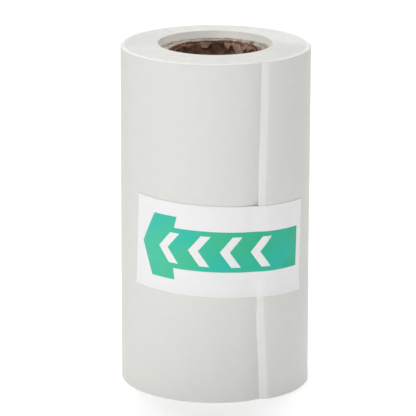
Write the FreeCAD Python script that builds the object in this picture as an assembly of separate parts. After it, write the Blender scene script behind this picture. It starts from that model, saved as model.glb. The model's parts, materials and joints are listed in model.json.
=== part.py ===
import FreeCAD, Part
import math
import os

from FreeCAD import Vector

# A roll of self-adhesive label paper wound on a spiral paperboard core and closed with a paper seal.
# Millimetres. +Z runs up the roll's axis. The origin is on the axis, at the foot of the paper.
# Angles are in degrees from the front of the roll (-Y), positive towards its right (+X).
# Seen from above, the web winds outwards clockwise, so its tail comes from the right.

# Label web: face paper and liner, with the adhesive as the space between them
web_width = 57.0
liner_thickness = 0.055
adhesive_thickness = 0.018
face_thickness = 0.062
turn_gap = 0.015  # air from one turn to the next
turns = 41  # whole turns under the loose tail
outer_turns = 1  # of them, the outermost, which are pieces of their own

# Loose tail of the web
tail_edge_angle = 27.5
tail_arc = 84.5  # how far round the roll the tail can be lifted
tail_slack = 0.03  # air under the tail
tail_fold_gap = 0.02  # along the web, where the tail bends away from the roll
tail_flat = 3.0  # stretch that leaves the roll on a tangent
lip_length = 1.4  # strip along the free edge, creased back onto the roll
lip_clearance = 0.03
crease_radius = 0.5

# Paperboard core
bore_diameter = 13.0
ply_count = 5
ply_thickness = 0.545
glue_line = 0.02
core_recess_top = 1.25  # from the paper's upper edges down to the core
core_recess_foot = 0.75
ply_lead = 38.0  # each strip climbs this much in one turn
ply_seam = 0.3  # open butt seam of each strip

# Tape that starts the web on the core
tape_thickness = 0.05
tape_clearance = 0.005
tape_arc_length = 12.0
tape_inset = 3.5  # from the web's edges

# Closure seal across the tail's edge
seal_length = 32.0
seal_height = 15.6
seal_thickness = 0.09
seal_clearance = 0.01
seal_fold_gap = 0.03  # along the seal, where its loose half bends at the tail's edge
seal_centre_angle = 5.2
seal_below_middle = 3.0  # its centre, under the middle of the web
seal_tilt = 2.9  # its right end lies lower

web_thickness = liner_thickness + adhesive_thickness + face_thickness
pitch = web_thickness + turn_gap
core_length = web_width - core_recess_top - core_recess_foot
core_radius = bore_diameter / 2 + ply_count * ply_thickness + (ply_count - 1) * glue_line
start_radius = core_radius + tape_thickness + 2 * tape_clearance + pitch / 4
tail_root_angle = tail_edge_angle + tail_arc
half_turns = 2 * turns
inner_half_turns = 2 * (turns - outer_turns)
last_radius = start_radius + half_turns * pitch / 2  # of the arc that the tail continues


def direction(angle):
    """Unit vector that points out from the axis at an angle from the front."""
    a = math.radians(angle)
    return Vector(math.sin(a), -math.cos(a), 0)


def arc_edge(centre, radius, angle_a, angle_b):
    """Arc about a centre, from one angle to another."""
    angles = (angle_a, (angle_a + angle_b) / 2, angle_b)
    a, m, b = (centre + direction(angle) * radius for angle in angles)
    return Part.Arc(a, m, b).toShape()


def half_turn_centre(k):
    """Centre of the k-th half turn: the web is wound of half circles about two centres."""
    side = -1 if k % 2 == 0 else 1
    return direction(tail_root_angle) * (side * pitch / 4)


def spiral_edges(offset, first, last):
    """The web's line at an offset from its inner face, from one half turn up to another."""
    edges = []
    for k in range(first, last):
        start = tail_root_angle - 180 * k
        radius = start_radius + k * pitch / 2 + offset
        edges.append(arc_edge(half_turn_centre(k), radius, start, start - 180))
    return edges


tail_centre = half_turn_centre(half_turns)


def angle_of(point):
    """Angle from the front, about the tail's centre."""
    d = point - tail_centre
    return math.degrees(math.atan2(d.x, -d.y))


def angle_for(length, radius):
    return math.degrees(length / radius)


class TailLine:
    """The tail's inner line: an arc on the roll, a flat run, a crease and the lip down to the free edge."""

    radius = last_radius + tail_slack
    tip = tail_centre + direction(tail_edge_angle) * (last_radius - turn_gap + lip_clearance)
    crease_angle = tail_edge_angle + angle_for(lip_length, last_radius)
    flat_arc = math.degrees(math.atan(tail_flat / radius))
    flat_angle = crease_angle + flat_arc
    normal_flat = direction(flat_angle)
    along_flat = Vector(normal_flat.y, -normal_flat.x, 0)
    corner = tail_centre + normal_flat * radius + along_flat * tail_flat
    along_lip = (tip - corner).normalize()
    normal_lip = Vector(-along_lip.y, along_lip.x, 0)
    bend = along_flat.getAngle(along_lip)
    setback = crease_radius * math.tan(bend / 2)
    crease_centre = corner - along_flat * setback - normal_flat * crease_radius


def tail_edges(offset, start_angle):
    """The tail's line at an offset from its inner face, from an angle on the roll to the free edge."""
    line = TailLine
    leave = tail_centre + line.normal_flat * (line.radius + offset)
    crease_in = line.crease_centre + line.normal_flat * (crease_radius + offset)
    crease_out = line.crease_centre + line.normal_lip * (crease_radius + offset)
    middle = (line.normal_flat + line.normal_lip).normalize()
    crease_mid = line.crease_centre + middle * (crease_radius + offset)
    end = line.tip + line.normal_lip * offset
    return [
        arc_edge(tail_centre, line.radius + offset, start_angle, line.flat_angle),
        Part.makeLine(leave, crease_in),
        Part.Arc(crease_in, crease_mid, crease_out).toShape(),
        Part.makeLine(crease_out, end),
    ]


def ends(edges):
    return edges[0].firstVertex(True).Point, edges[-1].lastVertex(True).Point


def strip(inner, outer, foot, height):
    """A thin sheet between two lines, standing up from a height."""
    inner_start, inner_end = ends(inner)
    outer_start, outer_end = ends(outer)
    start = Part.makeLine(inner_start, outer_start)
    end = Part.makeLine(inner_end, outer_end)
    outline = Part.Wire(Part.__sortEdges__(inner + [end] + outer + [start]))
    sheet = Part.Face(outline).extrude(Vector(0, 0, height))
    sheet.translate(Vector(0, 0, foot))
    return sheet


def wound_layer(low, high, first, last):
    """A layer of the wound web, between two offsets from the web's inner face and two half turns."""
    return strip(spiral_edges(low, first, last), spiral_edges(high, first, last), 0, web_width)


def tail_layer(low, high):
    """A layer of the loose tail."""
    root = tail_root_angle - angle_for(tail_fold_gap, last_radius)
    return strip(tail_edges(low, root), tail_edges(high, root), 0, web_width)


def seam_tool(radius, start_angle):
    """A bar wound along the open seam of one strip of the core."""
    overshoot = ply_lead / 8
    height = core_length + 2 * overshoot
    helix = Part.makeHelix(ply_lead, height, radius + ply_thickness / 2)
    depth = ply_thickness + 2 * glue_line
    slope = math.atan(ply_lead / (2 * math.pi * radius))
    rise = ply_seam / math.cos(slope) / 2
    low = radius - glue_line
    corners = [
        Vector(low, 0, -rise),
        Vector(low + depth, 0, -rise),
        Vector(low + depth, 0, rise),
        Vector(low, 0, rise),
    ]
    profile = Part.makePolygon(corners + corners[:1])
    bar = Part.Wire(helix.Edges).makePipeShell([profile], True, True)
    bar.translate(Vector(0, 0, core_recess_foot - overshoot))
    bar.rotate(Vector(0, 0, 0), Vector(0, 0, 1), start_angle)
    return bar


def core_ply(index):
    """One paper strip of the core: a tube with an open helical seam. The seams are evenly staggered."""
    radius = bore_diameter / 2 + index * (ply_thickness + glue_line)
    foot = Vector(0, 0, core_recess_foot)
    tube = Part.makeCylinder(radius + ply_thickness, core_length, foot)
    bore = Part.makeCylinder(radius, core_length, foot)
    return tube.cut(bore).cut(seam_tool(radius, 360 * index / ply_count))


def start_tape():
    """Double-sided tape between the core and the start of the web."""
    axis = Vector(0, 0, 0)
    low = core_radius + tape_clearance
    high = low + tape_thickness
    end = tail_root_angle - angle_for(tape_arc_length, low)
    inner = [arc_edge(axis, low, tail_root_angle, end)]
    outer = [arc_edge(axis, high, tail_root_angle, end)]
    return strip(inner, outer, tape_inset, web_width - 2 * tape_inset)


seal_offset = web_thickness + seal_clearance  # of the seal's inner face over the tail's inner face
seal_radius = last_radius - turn_gap + seal_clearance  # of the seal's inner face on the roll
seal_drop = math.tan(math.radians(seal_tilt)) * (seal_radius + seal_thickness)  # per radian
seal_half_arc = angle_for(seal_length / 2, seal_radius + seal_thickness)
seal_centre_height = web_width / 2 - seal_below_middle
seal_margin = 4.0  # blank round the seal before it is trimmed


def seal_slope_tool(height, thickness):
    """Solid above or below the seal's sloping edge, which passes the seal's centre angle at a height."""
    sweep = 2 * seal_half_arc + 60
    inner_radius = core_radius
    outer_radius = 2 * last_radius - core_radius
    rise = seal_drop * math.radians(sweep)
    lead = rise * 360 / sweep
    edges = [Part.makeHelix(lead, rise, r, 0, True).Edges[0] for r in (inner_radius, outer_radius)]
    ramp = Part.makeRuledSurface(edges[0], edges[1])
    tool = ramp.extrude(Vector(0, 0, thickness))
    first_angle = seal_centre_angle + sweep / 2 - 90
    tool.rotate(Vector(0, 0, 0), Vector(0, 0, 1), first_angle)
    tool.translate(Vector(0, 0, height - rise / 2))
    return tool


def seal_end_tool(side):
    """Block past one end of the seal, turned by the seal's tilt."""
    reach = seal_margin + seal_thickness * 10
    block = Part.makeBox(reach, 4 * reach, 4 * seal_height)
    block.translate(Vector(0, -2 * reach, -2 * seal_height))
    if side < 0:
        block.translate(Vector(-reach, 0, 0))
    block.rotate(Vector(0, 0, 0), Vector(0, 1, 0), seal_tilt)
    end_angle = seal_centre_angle + side * seal_half_arc
    block.rotate(Vector(0, 0, 0), Vector(0, 0, 1), end_angle)
    drop = side * seal_drop * math.radians(seal_half_arc)
    block.translate(direction(end_angle) * seal_radius + Vector(0, 0, seal_centre_height - drop))
    return block


def trim_seal(blank, side):
    """Cut a blank to the seal's sloping edges and to its end on one side."""
    half_height = seal_height / 2 / math.cos(math.radians(seal_tilt))
    above = seal_slope_tool(seal_centre_height + half_height, seal_height)
    below = seal_slope_tool(seal_centre_height - half_height, -seal_height)
    return blank.cut(above).cut(below).cut(seal_end_tool(side))


def seal_blank(inner, outer):
    height = seal_height + 2 * seal_margin
    return strip(inner, outer, seal_centre_height - height / 2, height)


def seal_anchor():
    """The part of the seal that stays stuck to the tail."""
    start = seal_centre_angle + seal_half_arc + angle_for(seal_margin, seal_radius)
    inner = tail_edges(seal_offset, start)
    outer = tail_edges(seal_offset + seal_thickness, start)
    return trim_seal(seal_blank(inner, outer), 1)


def seal_tab_edges(offset):
    """The line of the seal's loose half: off the tail's edge, down to the roll and round it."""
    start = TailLine.tip + TailLine.normal_lip * seal_offset + TailLine.along_lip * seal_fold_gap
    reach = (start - tail_centre).Length
    landing = angle_of(start) - math.degrees(math.acos(seal_radius / reach))
    end = seal_centre_angle - seal_half_arc - angle_for(seal_margin, seal_radius)
    normal = direction(landing)
    touch = tail_centre + normal * (seal_radius + offset)
    run = Part.makeLine(start + normal * offset, touch)
    return [run, arc_edge(tail_centre, seal_radius + offset, landing, end)]


def seal_tab():
    """The part of the seal that holds the tail down on the roll."""
    return trim_seal(seal_blank(seal_tab_edges(0), seal_tab_edges(seal_thickness)), -1)


def hinge_points():
    """Where the tail bends off the roll and where the seal bends at the tail's edge."""
    tail = tail_centre + direction(tail_root_angle) * (TailLine.radius + web_thickness)
    outer = seal_offset + seal_thickness
    seal = TailLine.tip + TailLine.normal_lip * outer + TailLine.along_lip * (seal_fold_gap / 2)
    return tail, seal


def main():
    os.makedirs("parts", exist_ok=True)
    face_low = liner_thickness + adhesive_thickness
    ply_names = ["core_inner_ply"]
    ply_names += [f"core_ply_{i + 1}" for i in range(1, ply_count - 1)]
    ply_names += ["core_outer_ply"]
    nodes = {name: core_ply(i) for i, name in enumerate(ply_names)}
    nodes["start_tape"] = start_tape()
    nodes["inner_turns_liner"] = wound_layer(0, liner_thickness, 0, inner_half_turns)
    nodes["inner_turns_face"] = wound_layer(face_low, web_thickness, 0, inner_half_turns)
    nodes["outer_turn_liner"] = wound_layer(0, liner_thickness, inner_half_turns, half_turns)
    nodes["outer_turn_face"] = wound_layer(face_low, web_thickness, inner_half_turns, half_turns)
    nodes["tail_liner"] = tail_layer(0, liner_thickness)
    nodes["tail_face"] = tail_layer(face_low, web_thickness)
    nodes["seal_anchor"] = seal_anchor()
    nodes["seal_tab"] = seal_tab()
    for name, shape in nodes.items():
        solids = len(shape.Solids)
        print(f"{name}: {solids} solid, {shape.Volume:.2f} mm3, valid {shape.isValid()}")
        shape.exportStep(f"parts/{name}.step")
    tail, seal = hinge_points()
    print(f"tail hinge at {tail.x:.4f}, {tail.y:.4f}; seal hinge at {seal.x:.4f}, {seal.y:.4f}")
    web_length = sum(edge.Length for edge in spiral_edges(face_low, 0, half_turns))
    print(f"wound web {web_length / 1000:.2f} m")


main()
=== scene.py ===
import json
import math

import bpy
import numpy as np
from mathutils import Matrix, Vector
from mathutils.geometry import delaunay_2d_cdt


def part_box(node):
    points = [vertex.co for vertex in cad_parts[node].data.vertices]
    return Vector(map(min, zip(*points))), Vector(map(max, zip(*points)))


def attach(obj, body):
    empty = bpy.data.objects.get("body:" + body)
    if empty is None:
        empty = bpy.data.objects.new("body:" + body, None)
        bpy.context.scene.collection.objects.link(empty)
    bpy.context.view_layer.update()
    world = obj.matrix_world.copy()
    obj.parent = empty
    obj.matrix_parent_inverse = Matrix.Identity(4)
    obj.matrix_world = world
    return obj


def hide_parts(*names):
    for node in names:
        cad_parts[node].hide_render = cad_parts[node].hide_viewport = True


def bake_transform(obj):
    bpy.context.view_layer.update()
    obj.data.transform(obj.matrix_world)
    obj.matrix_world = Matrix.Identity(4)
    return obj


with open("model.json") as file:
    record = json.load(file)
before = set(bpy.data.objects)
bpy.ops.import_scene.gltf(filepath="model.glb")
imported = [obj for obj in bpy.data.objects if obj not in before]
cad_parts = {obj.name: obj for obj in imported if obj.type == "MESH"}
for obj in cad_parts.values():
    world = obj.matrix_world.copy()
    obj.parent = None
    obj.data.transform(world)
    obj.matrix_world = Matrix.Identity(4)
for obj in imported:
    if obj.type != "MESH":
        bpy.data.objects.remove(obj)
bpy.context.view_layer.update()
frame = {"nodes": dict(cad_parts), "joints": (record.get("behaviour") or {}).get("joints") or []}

# The looks of a label roll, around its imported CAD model. Sizes here are in millimetres, and meshes
# are turned into metres as they are made. Only lights and the camera are placed in metres. Angles
# are in degrees from the front of the roll (-Y), positive towards its right (+X). A sheet's low
# face looks to the axis, and its high face outwards.

MM = 0.001
SEED = 57
rng = np.random.default_rng(SEED)


# --- What the frame says -------------------------------------------------------------------------

def radii(node):
    """The smallest and the largest distance of a CAD node from the roll's axis."""
    data = frame["nodes"][node].data
    co = np.empty(len(data.vertices) * 3)
    data.vertices.foreach_get("co", co)
    r = np.hypot(co[0::3], co[1::3]) / MM
    return r.min(), r.max()


def heights(node):
    """The lowest and the highest point of a CAD node."""
    low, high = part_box(node)
    return low.z / MM, high.z / MM


def joint_point(name):
    """A point on a joint's axis."""
    joint = next(j for j in frame["joints"] if j["name"] == name)
    return Vector(joint["pos_m"]) / MM


def angle_at(point):
    """A point's angle from the front."""
    return math.degrees(math.atan2(point.x, -point.y))


FOOT, TOP = heights("outer_turn_face")
CORE_FOOT, CORE_TOP = heights("core_inner_ply")
CORE_PLIES = ["core_inner_ply", "core_ply_2", "core_ply_3", "core_ply_4", "core_outer_ply"]
CORE_INSIDE = radii(CORE_PLIES[0])[0]
CORE_OUTSIDE = radii(CORE_PLIES[-1])[1]
TAIL_HINGE = joint_point("tail_lift")
SEAL_HINGE = joint_point("seal_peel")
ROOT = angle_at(TAIL_HINGE)  # where the tail begins to lift
EDGE = angle_at(SEAL_HINGE)  # where the tail ends
WEB_START = radii("inner_turns_liner")[0]
OUTER_RADIUS = radii("outer_turn_face")[1]
PITCH = OUTER_RADIUS - radii("inner_turns_face")[1]
INNER_TURNS = round((radii("outer_turn_liner")[0] - WEB_START) / PITCH)
END_OF_ROLL = (INNER_TURNS + 1) * 360  # degrees turned at the tail's root

# --- Sizes that only the looks need --------------------------------------------------------------

LINER_LAYER = (0.0, 0.063)  # low and high face, from the web's low face
FACE_LAYER = (0.065, 0.146)
TELESCOPE = 0.25  # the core and the innermost turn stand this much higher than the outer turns
WANDER = 0.03  # the turns' edges wander up and down by nearly this much
SHOULDER_WIDTH = 0.4  # the outermost turns' worn edges
SHOULDER_DROP = 0.12  # and how far they are worn down at the roll's outside

TAIL_SLACK = 0.03  # the tail stands this far off the turn below,
SLACK_AT_EDGE = 0.15  # but only this share of it at its edge
SLACK_GROWS = 4  # length from the root over which the slack grows
SLACK_SHRINKS = 3  # length to the edge over which it shrinks
EDGE_SHIFT = 0.75  # the tail's free edge lies this far short of the seal's hinge line,
BOW = 1.0  # but bows back to it and a little past it, most at this height
BOW_MIDDLE = 20.0
BOW_SPREAD = (13.5, 24.5)  # below and above
DIP_DEPTH = 0.42  # the roll is pressed in beside the tail's edge
DIP_WIDTH = 2.6
LIP_WIDTH = 1.4  # the tail rises steeply behind its edge,
LIP_RISE = 0.34
LIP_AT_FOOT = 1.45  # this many times as much at the foot, and one less at the top,
SWELL_RISE = 0.36  # then less and less,
SWELL_WIDTH = 2.2
SWELL_FADE = (5.0, 16.0)  # and sinks back on its way to the root: where it starts, how long
CORNER = 0.2  # softness of the corners in this shape
RELIEF_REACH = 5.5  # how deep into the roll this shape goes

PRESS = 0.5  # share of this shape that the seal presses out,
PRESS_BELOW = 2  # starting this far below the seal's foot
PRESS_GROWS = 6  # and full after this height
PRESS_INSIDE = 0.5  # and ending this far below the seal's top
PRESS_FADES = 3  # and gone after this height

SEAL_LENGTH = 31.7
SEAL_HEIGHT = 15.35
SEAL_THICKNESS = 0.09
SEAL_ANGLE = 4.2
SEAL_MIDDLE = 25.87
SEAL_TILT = math.radians(2.6)
SEAL_RADIUS = OUTER_RADIUS + SEAL_THICKNESS

INNER_COLUMNS = 132  # in each turn
OUTER_COLUMNS = 420
OUTER_ROWS = 48
TAIL_COLUMNS = 241
TAIL_ROWS = 58
TAIL_STRIP_COLUMNS = 12  # the tail is paler along its free edge, this many columns wide
SEAL_COLUMNS = 201
SEAL_ROWS = 61
CROWDING = 0.14  # how much closer together rows lie near a sheet's edges


def smooth(x):
    """From 0 to 1 as x goes from 0 to 1, level at both ends."""
    t = np.clip(x, 0, 1)
    return t * t * (3 - 2 * t)


def round_and_round(angle, waves):
    """Waves round the roll. Each is (how many in a turn, height, phase)."""
    return sum(h * np.sin(np.radians(angle) * count + phase) for count, h, phase in waves)


def grain(x, y, waves):
    """A rough surface made of many plane waves."""
    return sum(h * np.sin(kx * x + ky * y + phase) for kx, ky, h, phase in waves)


def grain_waves(count, shortest, longest):
    """Random plane waves for grain, between two lengths, adding up to a height of about 1."""
    length = rng.uniform(shortest, longest, count)
    heading = rng.uniform(0, 2 * math.pi, count)
    phase = rng.uniform(0, 2 * math.pi, count)
    k = 2 * math.pi / length
    height = np.full(count, 1.4 / count ** 0.5)
    return list(zip(k * np.cos(heading), k * np.sin(heading), height, phase))


def polar(angle, radius, z):
    """Points at an angle from the front, a distance from the axis and a height."""
    a = np.radians(angle)
    x, y, z = np.broadcast_arrays(np.sin(a) * radius, -np.cos(a) * radius, z)
    return np.stack([x, y, z], -1)


# --- The web's shape -----------------------------------------------------------------------------

JITTER_STEP = 120  # degrees turned from one of these to the next
JITTER_RISE = 0.4  # as a share of WANDER
JITTER = rng.uniform(-JITTER_RISE, JITTER_RISE, 360 // JITTER_STEP * (INNER_TURNS + 3))
# height as a share of WANDER, degrees turned for each radian, phase
DRIFTS = [(0.3, 430, 0.4), (0.2, 180, 2)]
FLUTES = [(15, 0.010, 0.3), (19, 0.006, 1.9), (7, 0.018, 4.0)]  # how many, height, phase
FLUTE_LEAN = 0.05  # degrees for each millimetre of height


def web_angle(turned):
    """Angle from the front after the web has turned this far since its start."""
    return ROOT + END_OF_ROLL - turned


def web_radius(turned):
    """Distance of the web's low face from the axis, on its true spiral."""
    return WEB_START + PITCH * turned / 360


def web_length(turned):
    """Length of web wound so far."""
    return np.radians(turned) * (WEB_START + PITCH * turned / 720)


def web_height(share, turned, radius):
    """Height for a share of the web's width, where 0 is its lower edge and 1 its upper edge."""
    near_outside = np.clip((radius - OUTER_RADIUS) / SHOULDER_WIDTH + 1, 0, None)
    inset = WANDER + SHOULDER_DROP * near_outside ** 2
    lift = TELESCOPE * (OUTER_RADIUS - radius) / (OUTER_RADIUS - WEB_START)
    slow = sum(height * np.sin(turned / step + phase) for height, step, phase in DRIFTS)
    quick = np.interp(turned / JITTER_STEP, np.arange(len(JITTER)), JITTER)
    return FOOT + inset + (TOP - FOOT - 2 * inset) * share + WANDER * (slow + quick) + lift


def edge_wave(z):
    """How far the tail's free edge bows to the left, most beside the seal's foot."""
    spread = np.where(z < BOW_MIDDLE, *BOW_SPREAD)
    return BOW * np.exp(-(((z - BOW_MIDDLE) / spread) ** 2))


def from_edge(angle, z):
    """Distance round the roll from the tail's free edge, positive towards the tail's root."""
    wrapped = (angle + 180) % 360 - 180
    return np.radians(wrapped - EDGE) * OUTER_RADIUS + edge_wave(z) - EDGE_SHIFT


def across_seal(angle, z):
    """Place across the seal's height, from its middle, of a point on the roll."""
    s = np.radians(angle - SEAL_ANGLE) * SEAL_RADIUS
    return s * math.sin(SEAL_TILT) + (z - SEAL_MIDDLE) * math.cos(SEAL_TILT)


def pressed(angle, z):
    """1 where the seal presses the tail's lip down, fading to 0 below its foot and above its top."""
    above_foot = across_seal(angle, z) + SEAL_HEIGHT / 2
    gone = smooth((above_foot - SEAL_HEIGHT + PRESS_INSIDE) / PRESS_FADES)
    return smooth((above_foot + PRESS_BELOW) / PRESS_GROWS) * (1 - gone)


def corner(t):
    """0 well below t = 0, and then t, with a soft corner between. It is 1 at t = 1."""
    return (t + np.sqrt(t * t + CORNER ** 2)) / (1 + math.sqrt(1 + CORNER ** 2))


def relief(angle, z):
    """How far the roll stands off its true spiral: pressed in beside the tail's edge, swollen
    behind it, and faintly fluted all round."""
    x = from_edge(angle, z)
    beside = -DIP_DEPTH * corner(1 + x / DIP_WIDTH)
    lip = LIP_RISE * (LIP_AT_FOOT - z / TOP) * (1 - corner(1 - x / LIP_WIDTH))
    swell = SWELL_RISE * (1 - np.exp(-np.clip(x, 0, None) / SWELL_WIDTH))
    start, length = SWELL_FADE
    behind = (lip + swell - DIP_DEPTH) * (1 - smooth((x - start) / length))
    seam = np.where(x < 0, beside, behind) * (1 - PRESS * pressed(angle, z))
    return seam + round_and_round(angle + FLUTE_LEAN * z, FLUTES)


def turn_relief(angle, z, radius):
    """The same for a turn inside the roll, where it fades towards the core."""
    return relief(angle, z) * smooth((radius - OUTER_RADIUS + RELIEF_REACH) / RELIEF_REACH)


def tail_relief(angle, z):
    """The same for the tail, which lies loose between its root and its edge."""
    off_root = smooth(np.radians(ROOT - angle) * OUTER_RADIUS / SLACK_GROWS)
    near_edge = smooth(from_edge(angle, z) / SLACK_SHRINKS)
    off_edge = SLACK_AT_EDGE + (1 - SLACK_AT_EDGE) * near_edge
    return relief(angle, z) + TAIL_SLACK * off_root * off_edge


# --- Meshes --------------------------------------------------------------------------------------

SHARP_ANGLE = math.radians(62)
FLAT_UNIT = 100  # millimetres of the flat sheet in one unit of its UV map


def mesh_piece(name, points, faces, materials, slots=None, flat=None):
    """A piece from points in millimetres. flat is each point's place on the flat sheet."""
    mesh = bpy.data.meshes.new(name)
    mesh.from_pydata((np.asarray(points) * MM).tolist(), [], faces)
    for material in materials:
        mesh.materials.append(material)
    if slots is not None:
        mesh.polygons.foreach_set("material_index", np.asarray(slots, np.int32))
    if flat is not None:
        layer = mesh.uv_layers.new(name="flat")
        corners = np.empty(len(mesh.loops), np.int32)
        mesh.loops.foreach_get("vertex_index", corners)
        uv = np.asarray(flat, np.float32)[corners] / FLAT_UNIT
        layer.uv.foreach_set("vector", uv.ravel())
    mesh.shade_smooth()
    mesh.set_sharp_from_angle(angle=SHARP_ANGLE)
    mesh.update()
    piece = bpy.data.objects.new(name, mesh)
    bpy.context.scene.collection.objects.link(piece)
    return piece


def section(rows, low, high, edge_points):
    """Once round a sheet's section: up its low face, over the top, down its high face and back.
    Gives each point's share of the width, its depth, and how far its rounded edge pulls it in."""
    n = len(rows)
    t = np.linspace(0, 1, edge_points + 2)[1:-1]
    over = low + (high - low) * t
    back = high - (high - low) * t
    share = np.concatenate([rows, np.ones(edge_points), rows[::-1], np.zeros(edge_points)])
    depth = np.concatenate([np.full(n, low), over, np.full(n, high), back])
    inset = np.zeros(len(share))
    inset[[n - 1, n + edge_points]] = -1
    inset[[0, 2 * n + edge_points - 1]] = 1
    inset[n:n + edge_points] = np.sin(math.pi * t) - 1
    inset[2 * n + edge_points:] = 1 - np.sin(math.pi * t)
    return share, depth, inset


def sheet_piece(name, columns, rows, layer, place, materials, edge_points=3, rounding=0.4):
    """A closed thin sheet, as columns along it. place(column, share, depth) gives points in space
    and on the flat sheet. The columns run clockwise round the roll, seen from above. The first
    material is for its two faces, and the second for its edges."""
    low, high = layer
    share, depth, inset = section(np.asarray(rows, float), low, high, edge_points)
    points, flat = place(columns[:, None], share[None, :], depth[None, :])
    points[..., 2] += inset * rounding * (high - low)
    across, round_it = points.shape[:2]
    n = len(rows)
    m = n + edge_points
    index = np.arange(across * round_it).reshape(across, round_it)
    after = np.roll(index, -1, axis=1)
    walls = np.stack([index[:-1], index[1:], after[1:], after[:-1]], -1)
    faces = walls.reshape(-1, 4).tolist()
    side = np.ones(round_it, int)
    side[:n - 1] = 0
    side[m:m + n - 1] = 0
    slots = np.tile(side, across - 1).tolist()
    for loop, turn in ((index[0], 1), (index[-1], -1)):
        up = loop[:n]
        down = loop[m:m + n][::-1]
        caps = [[up[k], up[k + 1], down[k + 1], down[k]] for k in range(n - 1)]
        caps.append([up[-1], *loop[n:m], down[-1]])
        caps.append([*loop[m + n:], up[0], down[0]])
        faces += [[int(v) for v in cap[::turn]] for cap in caps]
        slots += [1] * len(caps)
    return mesh_piece(name, points.reshape(-1, 3), faces, materials, slots, flat.reshape(-1, 2))


def graded(count):
    """Shares from 0 to 1, much closer together near both ends."""
    x = np.linspace(0, 1, count)
    return x - CROWDING * np.sin(2 * math.pi * x)


def on_sheet(along, across):
    """Places on the flat sheet."""
    return np.stack(np.broadcast_arrays(along, across), -1)


# --- Materials -----------------------------------------------------------------------------------

# Painted highlight: the wound turns' cut edges turn paler over this width at the roll's outside,
# standing in for light caught by the outermost turns' edges.
RIM_HIGHLIGHT_WIDTH = 0.8
RIM_HIGHLIGHT_COLOUR = (0.93, 0.93, 0.91)
MOST_NOISE = (0.3, 0.7)  # nearly all of a noise lies between these


class Nodes:
    """A material's node tree, with short ways to add to it."""

    def __init__(self, name):
        self.material = bpy.data.materials.new(name)
        self.material.use_nodes = True
        self.tree = self.material.node_tree
        self.shader = self.tree.nodes["Principled BSDF"]

    def add(self, kind, **settings):
        node = self.tree.nodes.new(kind)
        for key, value in settings.items():
            setattr(node, key, value)
        return node

    def link(self, source, target):
        self.tree.links.new(source, target)

    def coordinates(self, source="flat", stretch=(1, 1, 1)):
        """Coordinates in millimetres, on the flat sheet or in space."""
        mapping = self.add("ShaderNodeMapping")
        if source == "flat":
            place = self.add("ShaderNodeUVMap", uv_map="flat").outputs["UV"]
            scale = FLAT_UNIT
        else:
            place = self.add("ShaderNodeTexCoord").outputs["Object"]
            scale = 1 / MM
        mapping.inputs["Scale"].default_value = [scale * s for s in stretch]
        self.link(place, mapping.inputs["Vector"])
        return mapping.outputs["Vector"]

    def noise(self, place, size, detail=2.0, roughness=0.5, distortion=0.0):
        """Noise whose features are about this many millimetres across."""
        node = self.add("ShaderNodeTexNoise")
        node.inputs["Scale"].default_value = 1 / size
        node.inputs["Detail"].default_value = detail
        node.inputs["Roughness"].default_value = roughness
        node.inputs["Distortion"].default_value = distortion
        self.link(place, node.inputs["Vector"])
        return node.outputs["Fac"]

    def span(self, value, low, high, to_low=0, to_high=1):
        """to_low where the value is low, to_high where it is high, and evenly between them."""
        node = self.add("ShaderNodeMapRange")
        node.inputs["From Min"].default_value = low
        node.inputs["From Max"].default_value = high
        node.inputs["To Min"].default_value = to_low
        node.inputs["To Max"].default_value = to_high
        self.link(value, node.inputs["Value"])
        return node.outputs["Result"]

    def mix(self, amount, first, second):
        """Mix of two colours by an amount. Each colour is a socket or a plain colour."""
        node = self.add("ShaderNodeMix", data_type="RGBA")
        self.link(amount, node.inputs[0])
        for socket, value in ((node.inputs[6], first), (node.inputs[7], second)):
            if isinstance(value, bpy.types.NodeSocket):
                self.link(value, socket)
            else:
                socket.default_value = (*value, 1)
        return node.outputs[2]

    def sum(self, first, second, share):
        """first + second * share."""
        node = self.add("ShaderNodeMath", operation="MULTIPLY_ADD")
        self.link(second, node.inputs[0])
        node.inputs[1].default_value = share
        self.link(first, node.inputs[2])
        return node.outputs[0]

    def from_axis(self, place):
        """Distance of a place in space from the roll's axis."""
        level = self.add("ShaderNodeVectorMath", operation="MULTIPLY")
        level.inputs[1].default_value = (1, 1, 0)
        self.link(place, level.inputs[0])
        length = self.add("ShaderNodeVectorMath", operation="LENGTH")
        self.link(level.outputs["Vector"], length.inputs[0])
        return length.outputs["Value"]

    def finish(self, colour, rough, rough_span, height, depth, gloss):
        """Wires the shader: colour, roughness over a span, and relief of a depth in millimetres."""
        self.link(colour, self.shader.inputs["Base Color"])
        roughness = self.span(rough, *MOST_NOISE, *rough_span)
        self.link(roughness, self.shader.inputs["Roughness"])
        bump = self.add("ShaderNodeBump")
        bump.inputs["Distance"].default_value = depth * MM
        self.link(height, bump.inputs["Height"])
        self.link(bump.outputs["Normal"], self.shader.inputs["Normal"])
        self.shader.inputs["Specular IOR Level"].default_value = gloss
        return self.material


def paper(name, pale, deep, source="flat", rough=(0.42, 0.6), relief=0.004, gloss=0.4):
    """Calendered paper: cloudy formation, fine fibres, and faint streaks along the web."""
    n = Nodes(name)
    place = n.coordinates(source)
    cloud = n.noise(place, size=1.6, detail=3, roughness=0.6)
    fibre = n.noise(place, size=0.16, detail=4, roughness=0.65, distortion=0.6)
    streak = n.noise(n.coordinates(source, stretch=(0.08, 1, 1)), size=0.5)
    tone = n.mix(n.span(cloud, *MOST_NOISE), deep, pale)
    tone = n.mix(n.span(fibre, low=0.35, high=0.7, to_high=0.35), tone, deep)
    tone = n.mix(n.span(streak, low=0.5, high=0.8, to_high=0.25), tone, pale)
    polish = n.noise(place, size=0.9, detail=3)
    height = n.sum(fibre, cloud, share=0.8)
    return n.finish(tone, polish, rough, height, depth=relief, gloss=gloss)


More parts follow.
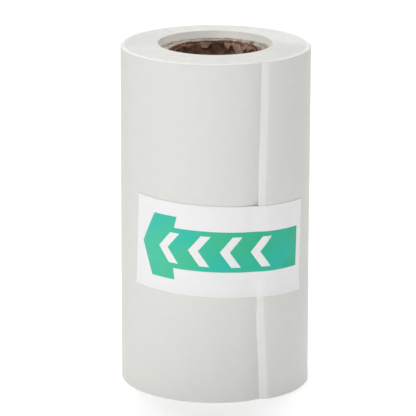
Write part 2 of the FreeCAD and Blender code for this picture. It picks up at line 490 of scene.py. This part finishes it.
def cut_edge(name, pale, deep, rim=None):
    """The slit edge of a paper: matt, with fibres laid open and a little dust. A rim colour, where
    one is given, is a painted highlight.
    The edge turns paler towards the roll's outside, standing in for light caught by the outermost
    turns."""
    n = Nodes(name)
    place = n.coordinates("space")
    fibre = n.noise(place, size=0.05, detail=3, roughness=0.7)
    dust = n.noise(place, size=1.2, detail=3, roughness=0.6)
    tone = n.mix(n.span(dust, *MOST_NOISE), deep, pale)
    tone = n.mix(n.span(fibre, low=0.5, high=0.8, to_high=0.4), tone, deep)
    # Painted highlight: paler towards the roll's outside.
    if rim:
        starts = OUTER_RADIUS - RIM_HIGHLIGHT_WIDTH
        near_outside = n.span(n.from_axis(place), low=starts, high=OUTER_RADIUS - RIM_HIGHLIGHT_WIDTH / 2)
        tone = n.mix(near_outside, tone, rim)
    return n.finish(tone, fibre, (0.75, 0.95), fibre, depth=0.006, gloss=0.25)


def ink(name, first, last, cool):
    """Printed ink on coated paper, with a cool drift and fine mottle. It is painted darker along the
    print, from its left end to its right, as painted shade where the light falls off round the roll."""
    n = Nodes(name)
    place = n.coordinates()
    split = n.add("ShaderNodeSeparateXYZ")
    n.link(place, split.inputs[0])
    mottle = n.noise(place, size=0.12, detail=3, roughness=0.6)
    # Painted shade: from the first colour at the seal's left end to the darker last colour at its
    # right end.
    along = n.span(split.outputs["X"], low=-SEAL_LENGTH / 2, high=SEAL_LENGTH / 2)
    tone = n.mix(along, first, last)
    drift = n.noise(place, size=7, detail=1)
    tone = n.mix(n.span(drift, low=0.4, high=0.7, to_high=0.6), tone, cool)
    tone = n.mix(n.span(mottle, low=0.4, high=0.8, to_high=0.3), tone, last)
    polish = n.noise(place, size=0.6, detail=3)
    return n.finish(tone, polish, (0.34, 0.5), mottle, depth=0.003, gloss=0.3)


def board(name, pale, deep, dark, patch_size, source="flat", stretch=(1, 1, 1), relief=0.05):
    """Brown recycled board: matted fibres, blotches and dark specks."""
    n = Nodes(name)
    plain = n.coordinates(source)
    patch = n.noise(plain, patch_size, detail=4, roughness=0.62, distortion=0.8)
    along = n.coordinates(source, stretch)
    fibre = n.noise(along, size=0.22, detail=5, roughness=0.7, distortion=1.4)
    tone = n.mix(n.span(patch, low=0.36, high=0.64), deep, pale)
    tone = n.mix(n.span(fibre, low=0.45, high=0.75, to_high=0.75), tone, dark)
    specks = n.noise(plain, size=0.3)
    tone = n.mix(n.span(specks, low=0.66, high=0.74, to_high=0.8), tone, dark)
    height = n.sum(fibre, patch, share=1.2)
    return n.finish(tone, fibre, (0.8, 1.0), height, depth=relief, gloss=0.2)


FACE_PAPER = paper("face_paper", (0.795, 0.795, 0.761), (0.77, 0.77, 0.738), gloss=0.12)
TAIL_STRIP = paper("tail_strip_paper", (0.86, 0.86, 0.836), (0.836, 0.836, 0.812), gloss=0.12)
LINER_PAPER = paper("liner_paper", (0.96, 0.95, 0.92), (0.935, 0.925, 0.89),
                    rough=(0.34, 0.5), relief=0.002, gloss=0.5)
FACE_EDGE_LOOK = (0.85, 0.85, 0.83), (0.78, 0.78, 0.755)
LINER_EDGE_LOOK = (0.80, 0.795, 0.765), (0.73, 0.725, 0.69)
FACE_EDGE = cut_edge("face_paper_edge", *FACE_EDGE_LOOK)
LINER_EDGE = cut_edge("liner_paper_edge", *LINER_EDGE_LOOK)
# These two carry the painted rim highlight on the wound turns' edges.
WOUND_FACE_EDGE_WITH_HIGHLIGHT = cut_edge("wound_face_edge_rim_highlight", *FACE_EDGE_LOOK, RIM_HIGHLIGHT_COLOUR)
WOUND_LINER_EDGE_WITH_HIGHLIGHT = cut_edge("wound_liner_edge_rim_highlight", *LINER_EDGE_LOOK, RIM_HIGHLIGHT_COLOUR)
SEAL_PAPER = paper("seal_paper", (0.93, 0.93, 0.925), (0.90, 0.90, 0.90),
                   rough=(0.36, 0.48), relief=0.002, gloss=0.5)
SEAL_EDGE = cut_edge("seal_paper_edge", (0.90, 0.90, 0.89), (0.84, 0.84, 0.82))
# The ink's second colour is its painted shade at the arrow's right end.
GREEN_INK = ink("green_ink", (0.09, 0.63, 0.41), (0.01, 0.465, 0.22), (0.005, 0.565, 0.52))
CORE_BOARD = board("core_board", (0.34, 0.19, 0.125), (0.085, 0.04, 0.023), (0.04, 0.018, 0.01),
                   patch_size=3.0, stretch=(0.35, 1, 1))
CORE_END = board("core_board_end", (0.60, 0.555, 0.47), (0.38, 0.325, 0.255), (0.09, 0.06, 0.04),
                 patch_size=1.1, source="space", relief=0.08)
CORE_TORN = board("core_board_torn", (0.86, 0.60, 0.46), (0.55, 0.35, 0.25), (0.16, 0.085, 0.055),
                  patch_size=0.9, relief=0.1)
CORE_FIBRE = cut_edge("core_fibre", (0.66, 0.58, 0.47), (0.48, 0.38, 0.28))
TAPE = paper("start_tape", (0.80, 0.77, 0.68), (0.74, 0.70, 0.60), source="space")
FLOOR = paper("floor", (0.95, 0.95, 0.95), (0.935, 0.935, 0.935),
              source="space", relief=0.001, gloss=0.1)


# --- Web -----------------------------------------------------------------------------------------

def wound_layer(name, turns, columns_per_turn, rows, layer, materials):
    """One layer of the web, from one turn to another."""
    first, last = turns
    turned = np.linspace(first * 360, last * 360, (last - first) * columns_per_turn + 1)

    def place(turned, share, depth):
        angle = web_angle(turned)
        radius = web_radius(turned) + depth
        z = web_height(share, turned, radius)
        points = polar(angle, radius + turn_relief(angle, z, radius), z)
        return points, on_sheet(web_length(turned), z)

    return sheet_piece(name, turned, rows, layer, place, materials)


def tail_layer(name, layer, materials):
    """One layer of the loose tail, from its root to the free edge. The third material is for the
    strip along that edge."""

    def place(step, share, depth):
        z = web_height(share, END_OF_ROLL, web_radius(END_OF_ROLL) + depth)
        reach = ROOT - EDGE + np.degrees((edge_wave(z) - EDGE_SHIFT) / OUTER_RADIUS)
        turned = END_OF_ROLL + reach * step
        angle = web_angle(turned)
        points = polar(angle, web_radius(turned) + depth + tail_relief(angle, z), z)
        return points, on_sheet(web_length(turned), z)

    columns = np.linspace(0, 1, TAIL_COLUMNS)
    tail = sheet_piece(name, columns, graded(TAIL_ROWS), layer, place, materials)
    faces = tail.data.polygons
    slots = np.empty(len(faces), np.int32)
    faces.foreach_get("material_index", slots)
    gaps = TAIL_COLUMNS - 1
    around = len(faces) // gaps  # faces between two columns, as the caps have fewer than gaps
    strip = slots[:around * gaps].reshape(gaps, around)[-TAIL_STRIP_COLUMNS:]
    strip[strip == 0] = 2
    faces.foreach_set("material_index", slots)
    return tail


def make_web():
    inner = ((0, INNER_TURNS), INNER_COLUMNS, [0, 1])
    outermost = ((INNER_TURNS, INNER_TURNS + 1), OUTER_COLUMNS, graded(OUTER_ROWS))
    liner_looks = (LINER_PAPER, WOUND_LINER_EDGE_WITH_HIGHLIGHT, LINER_EDGE, LINER_PAPER)
    face_looks = (FACE_PAPER, WOUND_FACE_EDGE_WITH_HIGHLIGHT, FACE_EDGE, TAIL_STRIP)
    kinds = (("liner", LINER_LAYER, liner_looks), ("face", FACE_LAYER, face_looks))
    for kind, layer, looks in kinds:
        sheet, wound_edge, tail_edge, tail_strip = looks
        wound = wound_layer(f"wound_{kind}", *inner, layer, [sheet, wound_edge])
        outer = wound_layer(f"outermost_{kind}", *outermost, layer, [sheet, wound_edge])
        tail = tail_layer(f"loose_{kind}", layer, [sheet, tail_edge, tail_strip])
        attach(wound, "roll")
        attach(outer, "roll")
        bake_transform(tail)
        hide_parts(f"inner_turns_{kind}")
        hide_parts(f"outer_turn_{kind}")
        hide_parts(f"tail_{kind}")


# --- Seal ----------------------------------------------------------------------------------------

SEAL_GAP = 0.004  # between the seal and the paper
SEAL_BRIDGE = 1.2  # the seal climbs to the tail over this length beside the tail's edge
FOOT_LIFT = 0.07  # the seal's foot stands off this much more,
FOOT_LIFT_REACH = 1.2  # over this height
END_LIFT = 0.02  # and its two ends this much more,
END_LIFT_REACH = 0.8  # over this length


def seal_place(along, across):
    """Angle and height on the roll of a place on the flat seal, from its middle."""
    s = along * math.cos(SEAL_TILT) + across * math.sin(SEAL_TILT)
    z = SEAL_MIDDLE - along * math.sin(SEAL_TILT) + across * math.cos(SEAL_TILT)
    return SEAL_ANGLE + np.degrees(s / SEAL_RADIUS), z


def seal_point(along, across, depth):
    """A point of the seal, which lies on the outermost turn and then on the tail."""
    angle, z = seal_place(along, across)
    tail_turned = END_OF_ROLL + ROOT - angle
    turn_turned = tail_turned - 360
    top = FACE_LAYER[1]
    on_turn = web_radius(turn_turned) + top + turn_relief(angle, z, OUTER_RADIUS)
    on_tail = web_radius(tail_turned) + top + tail_relief(angle, z)
    share = smooth(from_edge(angle, z) / SEAL_BRIDGE + 1)
    from_foot = SEAL_HEIGHT / 2 + across
    from_end = SEAL_LENGTH / 2 - np.abs(along)
    foot_lift = FOOT_LIFT * (1 - smooth(from_foot / FOOT_LIFT_REACH))
    end_lift = END_LIFT * (1 - smooth(from_end / END_LIFT_REACH))
    lift = SEAL_GAP + foot_lift + end_lift
    return polar(angle, on_turn + (on_tail - on_turn) * share + lift + depth, z)


def dress_seal(piece):
    """Bakes a piece of the seal's transform into its points."""
    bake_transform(piece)


def make_seal():
    def place(along, share, depth):
        across = (share - 0.5) * SEAL_HEIGHT
        along, across, depth = np.broadcast_arrays(along, across, depth)
        return seal_point(along, across, depth), on_sheet(along, across)

    columns = (0.5 - graded(SEAL_COLUMNS)) * SEAL_LENGTH
    layer = (0, SEAL_THICKNESS)
    materials = [SEAL_PAPER, SEAL_EDGE]
    seal = sheet_piece("closure_seal", columns, graded(SEAL_ROWS), layer, place, materials)
    dress_seal(seal)
    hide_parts("seal_anchor", "seal_tab")


ARROW = [(-14.3, 0.1), (-12.0, 5.3), (-7.75, 5.3), (-8.15, 3.4), (14.5, 3.35),
         (14.5, -3.35), (-8.0, -3.4), (-7.65, -5.3), (-12.0, -5.3)]
CHEVRON = [(0, 0), (2.0, 2.55), (3.65, 2.55), (1.65, 0), (3.65, -2.55), (2.0, -2.55)]
CHEVRON_STARTS = [-10.8, -5.55, -0.3, 4.95]
INK_STEP = 0.4  # between the points of the ink's mesh
INK_ALONG = (-14, 14.5)  # where the points inside it lie, from the seal's middle
INK_ACROSS = (-5.2, 5.3)
INK_LAYER = (-0.004, 0.012)  # low and high face, from the seal's high face
ALL_TRIANGLES = 0  # what delaunay_2d_cdt gives: every triangle inside the points' hull
SAME_POINT = 1e-5  # points nearer than this are one point


def divided(outline, step):
    """The outline's points, with more along its sides."""
    points = []
    for start, end in zip(np.array(outline), np.roll(outline, -1, axis=0)):
        count = max(1, round(np.hypot(*(end - start)) / step))
        points += [start + (end - start) * k / count for k in range(count)]
    return np.array(points)


def inside(point, outline):
    """True if the point is inside the outline."""
    x, y = point
    crossings = 0
    for (x0, y0), (x1, y1) in zip(outline, np.roll(outline, -1, axis=0)):
        if (y0 > y) != (y1 > y) and x < x0 + (y - y0) * (x1 - x0) / (y1 - y0):
            crossings += 1
    return crossings % 2 == 1


def ring_edges(rings):
    """The edges of closed rings of points that follow one another in a list."""
    edges = []
    start = 0
    for ring in rings:
        edges += [(start + k, start + (k + 1) % len(ring)) for k in range(len(ring))]
        start += len(ring)
    return edges


def ink_sheet():
    """The arrow's flat points and triangles, with the chevrons left out."""
    arrow = np.array(ARROW)
    chevrons = [np.array(CHEVRON) + (start, 0) for start in CHEVRON_STARTS]
    rings = [divided(outline, INK_STEP) for outline in [arrow] + chevrons]
    gx, gy = np.meshgrid(np.arange(*INK_ALONG, INK_STEP), np.arange(*INK_ACROSS, INK_STEP))
    points = np.concatenate(rings + [np.stack([gx.ravel(), gy.ravel()], -1)])
    vectors = [Vector(point) for point in points]
    out = delaunay_2d_cdt(vectors, ring_edges(rings), [], ALL_TRIANGLES, SAME_POINT)
    flat = np.array([tuple(v) for v in out[0]])

    def printed(face):
        middle = flat[list(face)].mean(0)
        return inside(middle, arrow) and not any(inside(middle, hole) for hole in chevrons)

    faces = [tuple(face) for face in out[2] if printed(face)]
    used = sorted({v for face in faces for v in face})
    renumbered = {v: k for k, v in enumerate(used)}
    return flat[used], [tuple(renumbered[v] for v in face) for face in faces]


def make_arrow():
    """The arrow is a film of ink on the seal, with chevrons left unprinted."""
    flat, faces = ink_sheet()
    count = len(flat)
    sides = {(a, b) for face in faces for a, b in zip(face, face[1:] + face[:1])}
    walls = [(a, a + count, b + count, b) for a, b in sorted(sides) if (b, a) not in sides]
    under = [tuple(v + count for v in face[::-1]) for face in faces]
    points = [seal_point(*flat.T, SEAL_THICKNESS + depth) for depth in INK_LAYER[::-1]]
    piece = mesh_piece("seal_arrow", np.concatenate(points), faces + under + walls, [GREEN_INK],
                       flat=np.concatenate([flat, flat]))
    dress_seal(piece)


# --- Core ----------------------------------------------------------------------------------------

PLY_LEAD = 38.0  # a strip climbs this much in each turn,
PLY_SEAM = 0.3  # and its turns stand this far apart
PLY_TIP = 0.4  # how wide a strip still is where it starts and ends
PLY_COLUMNS = 420
PLY_ROWS = 30
PLY_START = 50  # angle where the innermost strip's middle line passes the core's foot,
PLY_STAGGER = 141  # and how much further round each next strip's does
# how far each ply's two ends stand out, from the innermost on, and how ragged they are
PLY_ENDS = [(-0.28, 0.10), (-0.08, 0.08), (0.0, 0.06), (-0.04, 0.06), (0.02, 0.05)]
PLIES_ENDING_DARK = 2  # this many, from the innermost on, have ends as dark as their faces
END_GRAIN = grain_waves(16, 0.25, 1.6)
END_GRAIN_ACROSS = 1.7  # this grain is so much finer across the wall
END_SWELL = grain_waves(8, 3.0, 12.0)
END_SWELL_RISE = 0.03
BORE_GRAIN = grain_waves(10, 1.0, 5.0)
BORE_RISE = 0.025
PLY_TEXTURE_STEP = 70  # each ply shows its own stretch of the board's texture


def ply_strip(name, node, number):
    """One ply of the core: a strip wound in a helix, with its ends cut off ragged."""
    inner, outer = radii(node)
    length = CORE_TOP - CORE_FOOT
    half = (PLY_LEAD - PLY_SEAM) / 2
    first = (PLY_TIP - half) / PLY_LEAD * 360
    last = (length + half - PLY_TIP) / PLY_LEAD * 360
    phase = PLY_START + number * PLY_STAGGER
    stand_out, raggedness = PLY_ENDS[number]
    bore_rise = BORE_RISE if number == 0 else 0

    def place(turned, share, depth):
        middle = PLY_LEAD * turned / 360
        low = np.clip(middle - half, 0, length)
        high = np.clip(middle + half, 0, length)
        z = low + (high - low) * share
        angle = phase - turned
        radius = inner + depth
        arc = np.radians(angle) * radius
        at_end = (share == 1) & (high == length) | (share == 0) & (low == 0)
        rough = raggedness * grain(arc, radius * END_GRAIN_ACROSS, END_GRAIN) * at_end
        rough = rough + END_SWELL_RISE * grain(arc, number * 3, END_SWELL)
        z = CORE_FOOT + TELESCOPE + z + rough + stand_out * (2 * z / length - 1)
        points = polar(angle, radius + bore_rise * grain(arc, z, BORE_GRAIN), z)
        return points, on_sheet(arc, z + number * PLY_TEXTURE_STEP)

    end = CORE_BOARD if number < PLIES_ENDING_DARK else CORE_END
    strip = sheet_piece(name, np.linspace(first, last, PLY_COLUMNS), graded(PLY_ROWS),
                        (0, outer - inner), place, [CORE_BOARD, end], edge_points=7, rounding=0.12)
    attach(strip, "roll")
    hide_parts(node)


# middle, half width (degrees), drop, how far it stands off
TORN = [(146, 20, 1.7, 0.45), (120, 9, 0.9, 0.2), (194, 9, 0.8, 0.30), (224, 9, 0.6, 0.2),
        (30, 14, 0.9, 0.2)]
TEAR = grain_waves(8, 1.2, 4.0)
TORN_COLUMNS = 61
TORN_ROWS = 15
TORN_THICKNESS = 0.11
TORN_SET_BACK = 0.2  # the flakes start this far below the core's end
TORN_SUNK = 0.08  # and their backs reach this far into the inner ply where they lie flat
TORN_ARC = 0.11  # millimetres round the bore for each degree, nearly
TORN_NARROWEST = 0.02  # a flake's round outline stops short of a point at its two sides
TORN_RAGGED = 0.12  # how ragged it is all over
TOOTH_MIDDLE = 0.8  # and how far down its lower edge hangs, as a share of its drop:
TOOTH_RISE = 0.3  # in the middle, more or less by this,
TOOTH_LIMITS = (0.25, 1.2)  # and the least and most
TOOTH_PLACE = 7  # each flake takes its teeth from its own place in the tear
CURL_AT_TIP = 0.3  # share of the stand-off that is left at the flake's lower edge
CURL_GRAIN = 0.05
TORN_TEXTURE = 400  # where the flakes' stretch of the board's texture starts


def torn_patch(name, middle, half_width, drop, stand_off):
    """A place at the bore's mouth where the inner ply has torn and stands off as a ragged flake."""
    rim = CORE_TOP + TELESCOPE - TORN_SET_BACK

    def place(step, share, depth):
        fade = np.sqrt(np.clip(1 - step ** 2, TORN_NARROWEST, 1))
        along = step * half_width * TORN_ARC
        ragged = TORN_RAGGED * grain(along, share * 2, END_GRAIN)
        teeth = TOOTH_MIDDLE + TOOTH_RISE * grain(along, middle * TOOTH_PLACE, TEAR)
        z = rim + ragged - drop * fade * np.clip(teeth, *TOOTH_LIMITS) * (1 - share)
        curl = stand_off * fade * (CURL_AT_TIP + (1 - CURL_AT_TIP) * smooth(share))
        curl = curl + CURL_GRAIN * grain(step * 4, z * 2, BORE_GRAIN)
        angle = middle - step * half_width
        points = polar(angle, CORE_INSIDE + TORN_SUNK - curl + depth, z)
        return points, on_sheet(np.radians(angle) * CORE_INSIDE, z + TORN_TEXTURE)

    patch = sheet_piece(name, np.linspace(-1, 1, TORN_COLUMNS), graded(TORN_ROWS),
                        (-TORN_THICKNESS, 0), place, [CORE_TORN, CORE_TORN])
    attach(patch, "roll")


FIBRES = 130  # at each end of the core
FIBRE_LENGTHS = (0.25, 0.9)
FIBRE_THICKNESS = 0.016
FIBRE_TAPER = 0.7
FIBRE_BEND = 0.5
FIBRE_STEPS = 6
FIBRE_ROOT = 0.05  # how deep a fibre's root sits below the core's end
FIBRES_AT_BORE = 0.5  # share of the fibres that stand in a band round the bore
BORE_BAND = (-0.02, 0.25)  # from the bore's wall
WALL_MARGIN = 0.1  # the others keep this far from the core's outside
FIBRE_SWING = 50  # standard deviation of the way they point, from straight inwards
FIBRE_INWARDS = (0.3, 1.0)
FIBRE_UPWARDS = (0.05, 0.9)
SIDE_GUIDE = (0.3, 0.2, 0.9)  # a direction that no fibre has, to give each one a side


def hairs(name, roots, directions, lengths, thickness):
    """Torn fibres as thin tapered four-sided tubes that bend as they go."""
    points = []
    faces = []
    for root, direction, length in zip(roots, directions, lengths):
        side = np.cross(direction, SIDE_GUIDE)
        side /= np.linalg.norm(side)
        other = np.cross(direction, side)
        curl = rng.uniform(-FIBRE_BEND, FIBRE_BEND, 2)
        start = len(points)
        for k in range(FIBRE_STEPS):
            t = k / (FIBRE_STEPS - 1)
            centre = root + length * (direction * t + (side * curl[0] + other * curl[1]) * t * t)
            size = thickness * (1 - FIBRE_TAPER * t)
            points += [centre + size * v for v in (side, other, -side, -other)]
        for k in range(FIBRE_STEPS - 1):
            a = start + 4 * k
            faces += [(a + j, a + (j + 1) % 4, a + 4 + (j + 1) % 4, a + 4 + j) for j in range(4)]
        faces.append((start + 3, start + 2, start + 1, start))
        faces.append(tuple(start + 4 * (FIBRE_STEPS - 1) + j for j in range(4)))
    return mesh_piece(name, points, faces, [CORE_FIBRE])


def make_fibres(name, z, up):
    """Loose fibres at one end of the core. up is 1 at the top and -1 at the foot."""
    nearest, farthest = BORE_BAND
    angle = rng.uniform(0, 360, FIBRES)
    at_bore = rng.random(FIBRES) < FIBRES_AT_BORE
    in_band = rng.uniform(CORE_INSIDE + nearest, CORE_INSIDE + farthest, FIBRES)
    in_wall = rng.uniform(CORE_INSIDE, CORE_OUTSIDE - WALL_MARGIN, FIBRES)
    roots = polar(angle, np.where(at_bore, in_band, in_wall), z - FIBRE_ROOT * up)
    swing = rng.normal(0, FIBRE_SWING, FIBRES)
    heading = polar(angle + swing, -rng.uniform(*FIBRE_INWARDS, FIBRES), 0)
    heading[:, 2] = up * rng.uniform(*FIBRE_UPWARDS, FIBRES)
    heading /= np.linalg.norm(heading, axis=1)[:, None]
    lengths = rng.uniform(*FIBRE_LENGTHS, FIBRES)
    fibres = hairs(name, roots, heading, lengths, FIBRE_THICKNESS)
    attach(fibres, "roll")


def make_core():
    for number, node in enumerate(CORE_PLIES):
        ply_strip(f"core_strip_{number + 1}", node, number)
    for number, torn in enumerate(TORN):
        torn_patch(f"core_torn_{number + 1}", *torn)
    make_fibres("core_fibres_top", CORE_TOP + TELESCOPE, 1)
    make_fibres("core_fibres_foot", CORE_FOOT + TELESCOPE, -1)
    for slot in frame["nodes"]["start_tape"].material_slots:
        slot.material = TAPE


# --- Floor, light and camera ---------------------------------------------------------------------

FLOOR_RADIUS = 2500.0
FLOOR_SIDES = 72
FLOOR_DROP = 0.02  # below the roll's foot
FLOOR_GLOW = 0.29
WORLD_STRENGTH = 0.04
WHITE = (1, 1, 1, 1)
CAMERA_LENS = 257
CAMERA_PLACE = (0, -0.4770, 0.1608)
CAMERA_TURNS = ((0.134, "Z"), (74.56, "X"), (0.18, "Z"))  # the last one rolls it about its view


def make_floor():
    angles = np.linspace(0, 360, FLOOR_SIDES, endpoint=False)
    points = polar(angles, FLOOR_RADIUS, -FLOOR_DROP)
    floor = mesh_piece("floor", points, [tuple(range(FLOOR_SIDES))], [FLOOR])
    shader = FLOOR.node_tree.nodes["Principled BSDF"]
    shader.inputs["Emission Color"].default_value = WHITE
    shader.inputs["Emission Strength"].default_value = FLOOR_GLOW


def area_light(name, azimuth, elevation, distance, size, power):
    """A soft square light that looks at the roll. Azimuth 0 is in front, positive to the right."""
    data = bpy.data.lights.new(name, "AREA")
    data.size = size
    data.energy = power
    light = bpy.data.objects.new(name, data)
    level = distance * math.cos(math.radians(elevation))
    height = distance * math.sin(math.radians(elevation))
    a = math.radians(azimuth)
    target = Vector((0, 0, TOP / 2 * MM))
    light.location = target + Vector((math.sin(a) * level, -math.cos(a) * level, height))
    light.rotation_euler = (target - light.location).to_track_quat("-Z", "Y").to_euler()
    bpy.context.scene.collection.objects.link(light)


def make_camera():
    scene = bpy.context.scene
    camera = bpy.data.objects.new("camera", bpy.data.cameras.new("camera"))
    camera.data.lens = CAMERA_LENS
    camera.location = CAMERA_PLACE
    turn, tip, roll = (Matrix.Rotation(math.radians(degrees), 3, axis)
                       for degrees, axis in CAMERA_TURNS)
    camera.rotation_euler = (turn @ tip @ roll).to_euler()
    scene.collection.objects.link(camera)
    scene.camera = camera


def make_studio():
    scene = bpy.context.scene
    scene.view_settings.view_transform = "Standard"
    world = bpy.data.worlds.new("studio")
    scene.world = world
    world.use_nodes = True
    background = world.node_tree.nodes["Background"]
    background.inputs["Color"].default_value = WHITE
    background.inputs["Strength"].default_value = WORLD_STRENGTH
    area_light("key", azimuth=-34, elevation=35, distance=1.2, size=0.8, power=5.2)
    area_light("fill", azimuth=102, elevation=20, distance=1.2, size=0.6, power=2.1)
    area_light("back", azimuth=180, elevation=62, distance=1.3, size=0.9, power=14.2)
    area_light("front", azimuth=-16, elevation=50, distance=1.2, size=0.8, power=2.7)


make_web()
make_seal()
make_arrow()
make_core()
make_floor()
make_studio()
make_camera()
